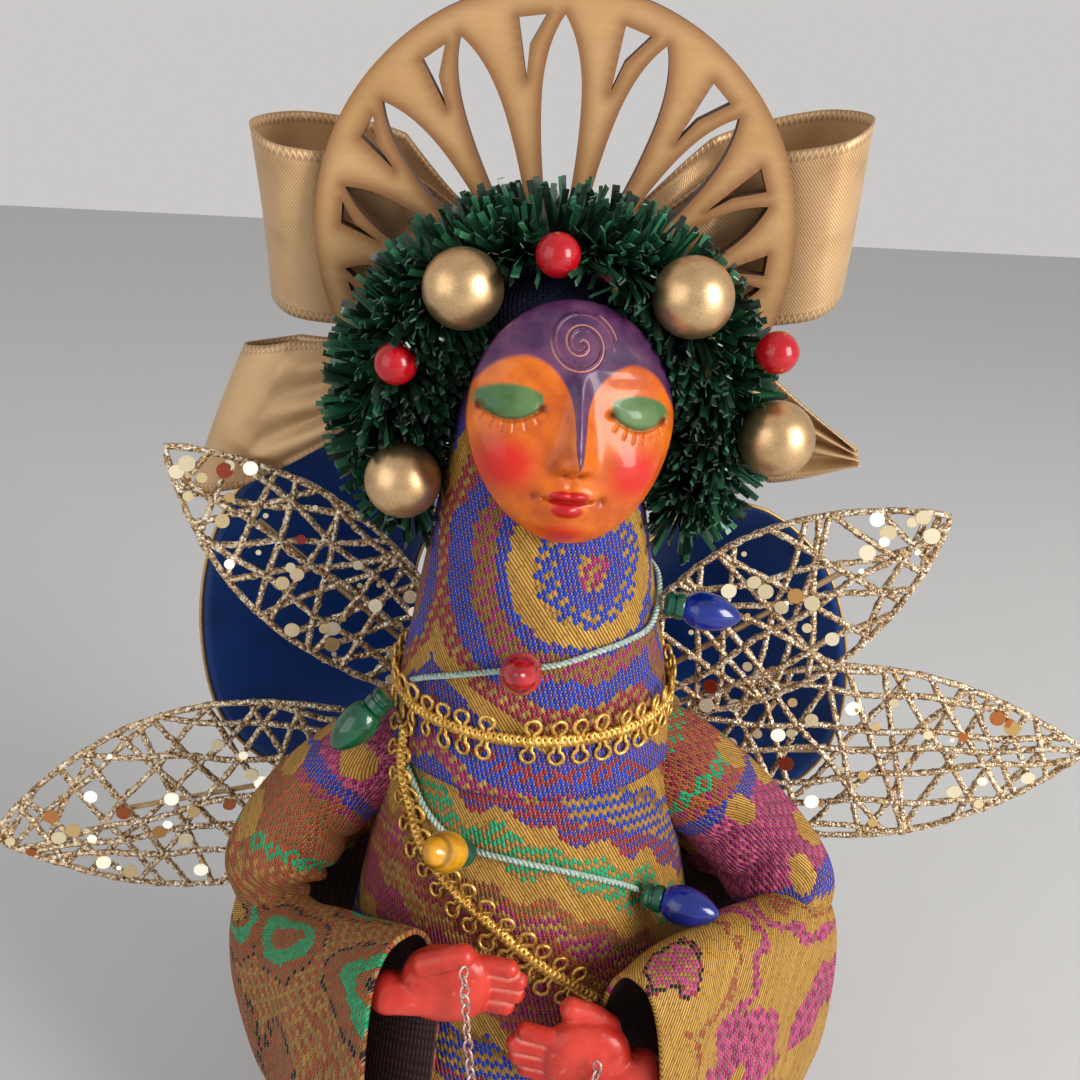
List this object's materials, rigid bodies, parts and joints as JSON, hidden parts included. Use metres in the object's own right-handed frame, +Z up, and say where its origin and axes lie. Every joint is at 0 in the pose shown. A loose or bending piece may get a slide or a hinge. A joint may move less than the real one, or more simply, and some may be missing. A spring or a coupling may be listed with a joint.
{
  "type": "angel figurine",
  "caption": "Standing cone-bodied angel doll in brocade with a clay face, garland wreath, cut wooden halo, ribbon bows, net wings that swivel and a chain that swings between its hands.",
  "frame": {"origin": "middle of the underside of the base disc, where the figurine stands", "axes": "+Z up the figurine, the face and hands look along -Y, its wings spread along X"},
  "size_m": [0.2872, 0.1501, 0.3096],
  "materials": {
    "wood": "plain planed wood",
    "card": "grey-brown card",
    "wadding": "loose cotton wadding",
    "neck_brocade": "violet, blue, magenta and gold woven bands",
    "robe_brocade": "crimson, gold and emerald woven bands",
    "sleeve_brocade": "orange-brown, gold and magenta woven bands",
    "wire": "soft craft wire",
    "hand_clay": "glossy red clay",
    "face_clay": "glossy orange clay with painted features",
    "gold_ball": "matte metallic gold",
    "berry": "glossy red lacquer",
    "tinsel": "cut green film strips",
    "plywood": "thin plywood, toasted along its cut edges",
    "gold_satin": "gold satin ribbon",
    "blue_satin": "dark blue satin ribbon with a gold edge",
    "glitter_net": "champagne glitter net with sequins",
    "gold_braid": "metallic gimp braid",
    "light_cord": "pale green twisted cord",
    "socket": "green moulded plastic",
    "red_bulb": "translucent red",
    "blue_bulb": "translucent blue",
    "green_bulb": "translucent green",
    "yellow_bulb": "translucent yellow",
    "chain_metal": "rose-silver oval links"
  },
  "bodies": {
    "doll": {"base_disc": "wood", "centre_dowel": "wood", "cone_core": "card", "neck_stuffing": "wadding", "neck_wrap": "neck_brocade", "robe": "robe_brocade", "arm_wire": "wire", "left_sleeve": "sleeve_brocade", "right_sleeve": "sleeve_brocade", "left_hand": "hand_clay", "right_hand": "hand_clay", "face": "face_clay", "gold_ball_upper_left": "gold_ball", "gold_ball_upper_right": "gold_ball", "gold_ball_lower_left": "gold_ball", "gold_ball_lower_right": "gold_ball", "berry_top": "berry", "berry_left": "berry", "berry_right": "berry", "garland_lower_left": "tinsel", "garland_upper_left": "tinsel", "garland_upper_right": "tinsel", "garland_lower_right": "tinsel", "halo_disc": "plywood", "gold_knot": "gold_satin", "gold_loop_upper_left": "gold_satin", "gold_loop_upper_right": "gold_satin", "gold_loop_lower_left": "gold_satin", "gold_tail_right": "gold_satin", "blue_knot": "blue_satin", "blue_loop_left": "blue_satin", "blue_loop_right": "blue_satin", "collar_braid": "gold_braid", "front_braid": "gold_braid", "light_cord_upper": "light_cord", "light_cord_lower": "light_cord", "socket_red": "socket", "socket_blue_upper": "socket", "socket_green": "socket", "socket_yellow": "socket", "socket_blue_lower": "socket", "bulb_red": "red_bulb", "bulb_blue_upper": "blue_bulb", "bulb_green": "green_bulb", "bulb_yellow": "yellow_bulb", "bulb_blue_lower": "blue_bulb"},
    "upper_left_wing": {"wing_upper_left": "glitter_net", "wing_wire_upper_left": "wire"},
    "upper_right_wing": {"wing_upper_right": "glitter_net", "wing_wire_upper_right": "wire"},
    "lower_left_wing": {"wing_lower_left": "glitter_net", "wing_wire_lower_left": "wire"},
    "lower_right_wing": {"wing_lower_right": "glitter_net", "wing_wire_lower_right": "wire"},
    "chain_bight": {"chain": "chain_metal"}
  },
  "joints": [
    {"name": "upper_left_wing_swivel", "type": "hinge", "parent": "doll", "child": "upper_left_wing", "pos_m": [-0.009, 0.03537, 0.127], "axis": [0, 1, 0], "range_deg": [-10, 10]},
    {"name": "upper_right_wing_swivel", "type": "hinge", "parent": "doll", "child": "upper_right_wing", "pos_m": [0.009, 0.03537, 0.127], "axis": [0, -1, 0], "range_deg": [-10, 10]},
    {"name": "lower_left_wing_swivel", "type": "hinge", "parent": "doll", "child": "lower_left_wing", "pos_m": [-0.009, 0.03756, 0.116], "axis": [0, 1, 0], "range_deg": [-10, 10]},
    {"name": "lower_right_wing_swivel", "type": "hinge", "parent": "doll", "child": "lower_right_wing", "pos_m": [0.009, 0.03795, 0.114], "axis": [0, -1, 0], "range_deg": [-10, 10]},
    {"name": "chain_swing", "type": "hinge", "parent": "doll", "child": "chain_bight", "pos_m": [-0.011, -0.05699, 0.1232], "axis": [-0.8033, 0.0457, 0.5938], "range_deg": [0, 45]}
  ]
}
